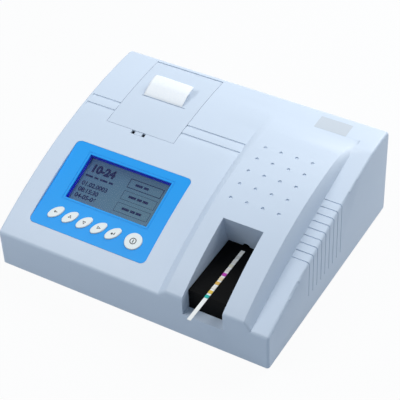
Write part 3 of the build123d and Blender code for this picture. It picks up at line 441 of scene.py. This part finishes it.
# %% Plane of the panel
panel_mesh = nodes["keypad_panel"].data
normal = Vector()
for polygon in panel_mesh.polygons:
    if polygon.normal.z > 0.9:
        normal += polygon.normal * polygon.area
normal.normalize()
slope_axis = normal.cross(Vector((1, 0, 0)))
low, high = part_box("keypad_panel")
top_level = max(vertex.co.dot(normal) for vertex in panel_mesh.vertices)
front_level = min(vertex.co.dot(slope_axis) for vertex in panel_mesh.vertices)
panel = Matrix.Identity(4)
for column, axis in enumerate((Vector((1, 0, 0)), slope_axis, normal)):
    panel.col[column].xyz = axis
panel.translation = Vector((low.x, 0, 0)) + slope_axis * front_level + normal * top_level
print("panel slope", round(degrees(atan2(-normal.y, normal.z)), 2), "start", panel.translation)


# %% Helpers for thin printed shapes
def on_panel(point):
    """Where a point lies on the panel: across, up the slope and out of it, in metres."""
    return panel.inverted() @ point


def middle_on_panel(node):
    """The middle of a node, in the panel's own directions."""
    corners = [on_panel(vertex.co) for vertex in nodes[node].data.vertices]
    across = [corner.x for corner in corners]
    up = [corner.y for corner in corners]
    out = [corner.z for corner in corners]
    return Vector(((min(across) + max(across)) / 2, (min(up) + max(up)) / 2, max(out)))


def printed(name, bm, material, body):
    """A finished print: its mesh is laid on the panel and rides on a body."""
    bmesh.ops.recalc_face_normals(bm, faces=bm.faces)
    bm.transform(panel)
    piece = as_piece(name, bm, material)
    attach(piece, body)


def thicken(bm, faces, depth):
    """Gives flat faces a small depth, so that the print is a closed solid."""
    raised = bmesh.ops.extrude_face_region(bm, geom=faces)
    new_vertices = [part for part in raised["geom"] if isinstance(part, bmesh.types.BMVert)]
    bmesh.ops.translate(bm, verts=new_vertices, vec=(0, 0, depth))


def plate(bm, centre, width, height, depth, turn=0.0):
    """A thin rectangular plate in the panel's directions."""
    corners = bmesh.ops.create_grid(bm, x_segments=1, y_segments=1, size=0.5)["verts"]
    turned = Matrix.Rotation(radians(turn), 3, "Z")
    bmesh.ops.scale(bm, verts=corners, vec=(width, height, 1))
    bmesh.ops.rotate(bm, verts=corners, cent=(0, 0, 0), matrix=turned)
    bmesh.ops.translate(bm, verts=corners, vec=centre)
    thicken(bm, list({face for corner in corners for face in corner.link_faces}), depth)


def ring(bm, centre, sides, radius, line, depth, turn=0.0, stretch=(1, 1)):
    """A thin outline of a polygon or a circle."""
    corners = bmesh.ops.create_circle(bm, cap_ends=True, segments=sides, radius=radius)["verts"]
    turned = Matrix.Rotation(radians(turn), 3, "Z")
    bmesh.ops.rotate(bm, verts=corners, cent=(0, 0, 0), matrix=turned)
    bmesh.ops.scale(bm, verts=corners, vec=(*stretch, 1))
    bmesh.ops.translate(bm, verts=corners, vec=centre)
    inner = corners[0].link_faces[0]
    rim = bmesh.ops.inset_region(
        bm, faces=[inner], thickness=line, use_boundary=True, use_even_offset=True
    )
    bmesh.ops.delete(bm, geom=[inner], context="FACES")
    thicken(bm, rim["faces"], depth)


# %% [markdown]
# ## Signs on the keys
# Each key carries one small dark sign: back, up, down, forward and enter. They are arrows and
# triangles, printed flat, so each is made of thin plates and outlines. The round key starts a
# test, and its sign is a bar in a ring.

# %% Signs
ink_black = (0.015, 0.018, 0.025)
sign_ink = moulded("sign_ink", ink_black, rough=0.5, spread=0.1, depth=0.005 * MM, edge=0)
lift = 0.02 * MM
depth = 0.04 * MM
line = 0.9 * MM
arrow_width = 4.6 * MM
barb_angle = 145
triangle_radius = 2.9 * MM
ring_radius = 4.4 * MM


def arrow_head(bm, tip, size, turn):
    """Two strokes that meet in a tip."""
    for side in (-1, 1):
        angle = turn + side * barb_angle
        along = Vector((cos(radians(angle)), sin(radians(angle)), 0))
        plate(bm, tip + along * size / 2, size, line, depth, turn=angle)


def sign_back(bm, centre):
    """An arrow to the left."""
    plate(bm, centre, arrow_width, line, depth)
    arrow_head(bm, centre - Vector((arrow_width / 2, 0, 0)), 2.4 * MM, 180)


def sign_triangle(bm, centre, turn, stretch=(1, 1)):
    """The outline of a triangle, which points up the slope before it is turned."""
    ring(bm, centre, 3, triangle_radius, line * 0.8, depth, turn=turn, stretch=stretch)


def sign_enter(bm, centre):
    """An arrow to the left whose tail turns up."""
    shaft = centre - Vector((0, 0.8 * MM, 0))
    plate(bm, shaft, arrow_width, line, depth)
    plate(bm, centre + Vector((arrow_width / 2, 0.5 * MM, 0)), line, 3.1 * MM, depth)
    arrow_head(bm, shaft - Vector((arrow_width / 2, 0, 0)), 2.2 * MM, 180)


def sign_start(bm, centre):
    """A bar in a ring."""
    ring(bm, centre, 40, ring_radius, line * 1.2, depth)
    plate(bm, centre, line * 1.4, ring_radius, depth)


signs = {
    "key_back": sign_back,
    "key_up": lambda bm, centre: sign_triangle(bm, centre, 0),
    "key_down": lambda bm, centre: sign_triangle(bm, centre, 180),
    "key_forward": lambda bm, centre: sign_triangle(bm, centre, -90, (1.2, 0.8)),
    "key_enter": sign_enter,
    "start_key": sign_start,
}
for key, draw in signs.items():
    bm = bmesh.new()
    draw(bm, middle_on_panel(key) + Vector((0, 0, lift)))
    printed(key + "_sign", bm, sign_ink, body_of_node[key])
print("signs", len(signs))

# %% [markdown]
# ## The screen
# A grey liquid-crystal display: the glass is darker and bluer at the upper left and paler at the
# lower right, and its dots are dark blue. It shows plain numbers, bars in the place of words, and
# three framed fields at the right.

# %% Screen glass
screen_grey, tree, shader = finish("screen_grey")
low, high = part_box("lcd_screen")
where = add(tree, "ShaderNodeTexCoord")
fit = add(tree, "ShaderNodeMapping", vector_type="POINT")
glass = high - low
fit.inputs["Location"].default_value = (-low.x / glass.x, -low.y / glass.y, 0)
fit.inputs["Scale"].default_value = (1 / glass.x, 1 / glass.y, 0)
mixed = add(tree, "ShaderNodeVectorMath", operation="DOT_PRODUCT")
mixed.inputs[1].default_value = (0.55, -0.45, 0)
shift = add(tree, "ShaderNodeMath", operation="ADD")
shift.inputs[1].default_value = 0.45
fade = add(tree, "ShaderNodeValToRGB")
fade.color_ramp.elements[0].color = (0.068, 0.150, 0.290, 1)
fade.color_ramp.elements[1].color = (0.125, 0.245, 0.300, 1)
shader.inputs["Specular IOR Level"].default_value = 0.2
tree.links.new(where.outputs["Object"], fit.inputs["Vector"])
tree.links.new(fit.outputs["Vector"], mixed.inputs[0])
tree.links.new(mixed.outputs["Value"], shift.inputs[0])
tree.links.new(shift.outputs["Value"], fade.inputs["Fac"])
tree.links.new(fade.outputs["Color"], shader.inputs["Base Color"])
shader.inputs["Roughness"].default_value = 0.3
dots = add(tree, "ShaderNodeTexChecker", Scale=2200.0)
bump = add(tree, "ShaderNodeBump", Strength=0.3, Distance=0.01 * MM)
tree.links.new(where.outputs["Object"], dots.inputs["Vector"])
tree.links.new(dots.outputs["Fac"], bump.inputs["Height"])
tree.links.new(bump.outputs["Normal"], shader.inputs["Normal"])
dress("lcd_screen", screen_grey)

# %% Picture on the screen
dot_blue = (0.004, 0.006, 0.075)
screen_ink = moulded(
    "screen_ink", dot_blue, rough=0.5, spread=0.15, depth=0.002 * MM, edge=0, shine=0.15
)
screen_top = middle_on_panel("lcd_screen")
view_width = 119 * MM
view_height = 66 * MM


def at(across, up):
    """A place on the screen, from its middle, as shares of its width and height."""
    return screen_top + Vector((across * view_width, up * view_height, lift))


def numbers(name, text, across, up, size, weight):
    """Plain numbers as a flat mesh on the screen."""
    curve = bpy.data.curves.new(name, "FONT")
    curve.body = text
    curve.size = size
    curve.offset = weight
    curve.extrude = depth / 2
    holder = bpy.data.objects.new(name, curve)
    bpy.context.scene.collection.objects.link(holder)
    bpy.context.view_layer.update()
    evaluated = holder.evaluated_get(bpy.context.evaluated_depsgraph_get())
    mesh = bpy.data.meshes.new_from_object(evaluated)
    bpy.data.objects.remove(holder)
    mesh.transform(panel @ Matrix.Translation(at(across, up) + Vector((0, 0, depth))))
    mesh.materials.clear()
    mesh.materials.append(screen_ink)
    piece = bpy.data.objects.new(name, mesh)
    bpy.context.scene.collection.objects.link(piece)
    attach(piece, "housing")


small_type = 8.5 * MM
numbers("screen_number", "10-24", -0.44, 0.22, 15 * MM, weight=0.9 * MM)
for name, text, up in (
    ("screen_count", "01.02.0003", -0.10),
    ("screen_time", "08:15:30", -0.24),
    ("screen_date", "04-05-06", -0.38),
):
    numbers(name, text, -0.45, up, small_type, weight=0.3 * MM)

# %% Bars and framed fields on the screen
field_across = 0.24
field_wide = 0.40 * view_width
field_tall = 0.19 * view_height
title_up = 0.115
title_tall = 2.6 * MM
title_bars = ((-0.415, 0.09), (-0.325, 0.05), (-0.235, 0.09), (-0.145, 0.05))
bar_tall = 3.4 * MM
field_bars = ((-0.2, 0.22), (0.02, 0.14), (0.2, 0.16))

bm = bmesh.new()
for across, width in title_bars:
    plate(bm, at(across, title_up), width * view_width, title_tall, depth)
for row, up in enumerate((0.26, -0.01, -0.28)):
    centre = at(field_across, up)
    chosen = row == 0
    stroke = 1.0 * MM if chosen else 0.5 * MM
    for side in (-1, 1):
        plate(bm, centre + Vector((0, side * field_tall / 2, 0)), field_wide, stroke, depth)
        edge = centre + Vector((side * field_wide / 2, 0, 0))
        plate(bm, edge, stroke, field_tall + stroke, depth)
    for offset, share in field_bars[: 2 if chosen else 3]:
        centre_of_bar = centre + Vector((offset * field_wide, 0, 0))
        plate(bm, centre_of_bar, share * field_wide, bar_tall, depth)
printed("screen_fields", bm, screen_ink, "housing")
print("screen picture drawn")

# %% [markdown]
# ## The printed slip
# A sheet of thermal paper comes straight up through the slot, bends back over its rear edge and
# rises over the door, curled by the roll that it came from. It starts as a flat grid, whose rows
# are laid along a smooth path; its right-hand corner droops a little.

# %% Paper slip
def give_wall(piece, thickness):
    """Turns a flat sheet into a thin closed one, half the thickness to each side."""
    wall = piece.modifiers.new("thickness", "SOLIDIFY")
    wall.thickness = thickness
    wall.offset = 0


low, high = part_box("paper_slip")
slip_middle = (low.x + high.x) / 2
slip_width = high.x - low.x
slip_start = Vector((0, low.y + 0.125 * MM, low.z))
slip_fold = slip_start + Vector((0, 0, 3.6)) * MM
slip_knee = Vector((0, low.y, high.z)) + Vector((0, 15.5, -4.3)) * MM
slip_end = Vector((0, high.y, high.z)) - Vector((0, 0.4, 0.25)) * MM
curve_steps = 40


def slip_route(count):
    """Evenly shared points on the slip's path, from the slot to its free edge."""
    bend = slip_fold + Vector((0, 2, 1)) * MM
    first = interpolate_bezier(slip_start, slip_fold, bend, slip_knee, curve_steps)
    lead = slip_knee + (slip_knee - slip_fold).normalized() * 5 * MM
    flat_out = slip_end - Vector((0, 5, 0.9)) * MM
    second = interpolate_bezier(slip_knee, lead, flat_out, slip_end, curve_steps)
    path = first + second[1:]
    lengths = [0.0]
    for before, after in zip(path, path[1:]):
        lengths.append(lengths[-1] + (after - before).length)
    route = []
    for step in range(count + 1):
        goal = lengths[-1] * step / count
        index = max(i for i, length in enumerate(lengths[:-1]) if length <= goal)
        share = (goal - lengths[index]) / (lengths[index + 1] - lengths[index])
        route.append(path[index].lerp(path[index + 1], share))
    return route, lengths[-1]


rows = 40
held_share = 0.25
route, slip_length = slip_route(rows)
bm = bmesh.new()
bmesh.ops.create_grid(bm, x_segments=30, y_segments=rows, size=0.5)
for vertex in bm.verts:
    across = vertex.co.x * 2
    share = vertex.co.y + 0.5
    rest = route[round(share * rows)]
    free = max(0.0, share - held_share) / (1 - held_share)
    droop = 0.9 * across * across + 0.5 * across + 0.22 * sin(across * 5.0 + 1.0)
    fall = free * max(0.0, droop) * MM
    vertex.co = Vector((slip_middle + vertex.co.x * slip_width, rest.y, rest.z - fall))
for face in bm.faces:
    face.smooth = True
slip_sheet = as_piece("paper_slip_sheet", bm, slip_paper)
give_wall(slip_sheet, 0.1 * MM)
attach(slip_sheet, "door")
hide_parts("paper_slip")
print("slip mm", round(slip_width / MM, 1), "x", round(slip_length / MM, 1))

# %% [markdown]
# Below the door the same paper runs tight from the roll to the printing line. The CAD model has
# its shape already, so a smooth copy is enough.

# %% Paper between the roll and the printing line
web_sheet = smooth_copy("paper_web", slip_paper)
low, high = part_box("paper_web")

# %% [markdown]
# ## The bare label field
# At the rear right the hood carries a thin film. It is left bare. A grid is dropped on the hood
# from above, point by point, so that it follows the curve.

# %% Label field
hood = bpy.data.objects["top_cover_smooth"]
hood_points = [vertex.co for vertex in hood.data.vertices]
hood_faces = [polygon.vertices[:] for polygon in hood.data.polygons]
hood_tree = BVHTree.FromPolygons(hood_points, hood_faces)
field_low = Vector((103, 137)) * MM
field_high = Vector((147, 160)) * MM
above_hood = 300 * MM
film_lift = 0.06 * MM
bm = bmesh.new()
bmesh.ops.create_grid(bm, x_segments=16, y_segments=12, size=0.5)
for vertex in bm.verts:
    x = field_low.x + (vertex.co.x + 0.5) * (field_high.x - field_low.x)
    y = field_low.y + (vertex.co.y + 0.5) * (field_high.y - field_low.y)
    hit = hood_tree.ray_cast(Vector((x, y, above_hood)), Vector((0, 0, -1)))[0]
    vertex.co = hit + Vector((0, 0, film_lift))
film_grey = (0.54, 0.59, 0.65)
label_film = moulded("label_film", film_grey, rough=0.3, spread=0.01, depth=0.004 * MM, edge=0)
label = as_piece("label_field", bm, label_film)
give_wall(label, 0.05 * MM)
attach(label, "housing")
print("label field laid")

# %% [markdown]
# ## Floor, light and camera
# The floor is plain and pale. To the camera it glows almost white, so that the picture's ground is
# white while a trace of the object's shadow stays. A soft light hangs behind, a weaker one over the
# front at the left, and the world fills in. That leaves the front and the right-hand side darker
# than the top, as in the picture.


# %% Floor
glow_share = 0.95


def seen_rays(tree, path):
    """One for rays that show the ground to the eye: straight, in a gloss, or through glass."""
    total = path.outputs["Is Camera Ray"]
    for kind in ("Is Glossy Ray", "Is Transmission Ray"):
        both = add(tree, "ShaderNodeMath", operation="ADD", use_clamp=True)
        tree.links.new(total, both.inputs[0])
        tree.links.new(path.outputs[kind], both.inputs[1])
        total = both.outputs["Value"]
    return total


def floor_paint():
    """Pale paint that is near white to the camera and in reflections."""
    material = bpy.data.materials.new("floor_paint")
    material.use_nodes = True
    tree = material.node_tree
    tree.nodes.clear()
    out = add(tree, "ShaderNodeOutputMaterial")
    paint = add(tree, "ShaderNodeBsdfDiffuse", Color=(0.50, 0.56, 0.62, 1))
    glow = add(tree, "ShaderNodeEmission", Color=(1, 1, 1, 1), Strength=1.0)
    path = add(tree, "ShaderNodeLightPath")
    share = add(tree, "ShaderNodeMath", operation="MULTIPLY")
    share.inputs[1].default_value = glow_share
    mix = add(tree, "ShaderNodeMixShader")
    tree.links.new(seen_rays(tree, path), share.inputs[0])
    tree.links.new(share.outputs["Value"], mix.inputs[0])
    tree.links.new(paint.outputs["BSDF"], mix.inputs[1])
    tree.links.new(glow.outputs["Emission"], mix.inputs[2])
    tree.links.new(mix.outputs["Shader"], out.inputs["Surface"])
    return material


bm = bmesh.new()
bmesh.ops.create_grid(bm, x_segments=1, y_segments=1, size=5.0)
as_piece("floor", bm, floor_paint())

# %% Light
world = bpy.data.worlds.new("studio")
bpy.context.scene.world = world
world.use_nodes = True
tree = world.node_tree
tree.nodes.clear()
sky_fill = (0.70, 0.84, 1.0, 1)
fill_strength = 0.37
fill = add(tree, "ShaderNodeBackground", Color=sky_fill, Strength=fill_strength)
white = add(tree, "ShaderNodeBackground", Color=(1, 1, 1, 1), Strength=1.0)
path = add(tree, "ShaderNodeLightPath")
mix = add(tree, "ShaderNodeMixShader")
out = add(tree, "ShaderNodeOutputWorld")
tree.links.new(seen_rays(tree, path), mix.inputs[0])
tree.links.new(fill.outputs["Background"], mix.inputs[1])
tree.links.new(white.outputs["Background"], mix.inputs[2])
tree.links.new(mix.outputs["Shader"], out.inputs["Surface"])

lamp_white = (1.0, 1.0, 0.98)


def soft_light(name, position, target, size, power):
    """A square soft box that looks at a target."""
    lamp = bpy.data.lights.new(name, "AREA")
    lamp.size = size
    lamp.energy = power
    lamp.color = lamp_white
    holder = bpy.data.objects.new(name, lamp)
    bpy.context.scene.collection.objects.link(holder)
    holder.location = position
    aim = Vector(target) - Vector(position)
    holder.rotation_euler = aim.to_track_quat("-Z", "Y").to_euler()


soft_light("rear_light", (0.35, 0.95, 1.0), (0.05, 0.05, 0.1), size=0.9, power=14.5)
soft_light("front_light", (-0.7, -0.55, 1.3), (-0.05, -0.1, 0.08), size=0.8, power=9.5)

# %% [markdown]
# ## Camera
# The camera's place, turn and lens were solved once, from the object's own edges in the picture and
# the sizes of the CAD model. They come out as a long lens from well back, so parallel edges
# converge only a little. They are written here as plain numbers, because the solve isn't part of
# the lesson.

# %% Camera
camera_place = (0.69408, -1.08792, 1.21005)
camera_turn = (48.484, 1.997, 30.181)
camera_lens = 124.27
camera_data = bpy.data.cameras.new("camera")
camera = bpy.data.objects.new("camera", camera_data)
bpy.context.scene.collection.objects.link(camera)
camera_data.sensor_width = 36
camera_data.lens = camera_lens
camera.location = camera_place
camera.rotation_euler = [radians(angle) for angle in camera_turn]
bpy.context.scene.camera = camera
bpy.context.scene.view_settings.view_transform = "Standard"
print("lens", camera_data.lens)
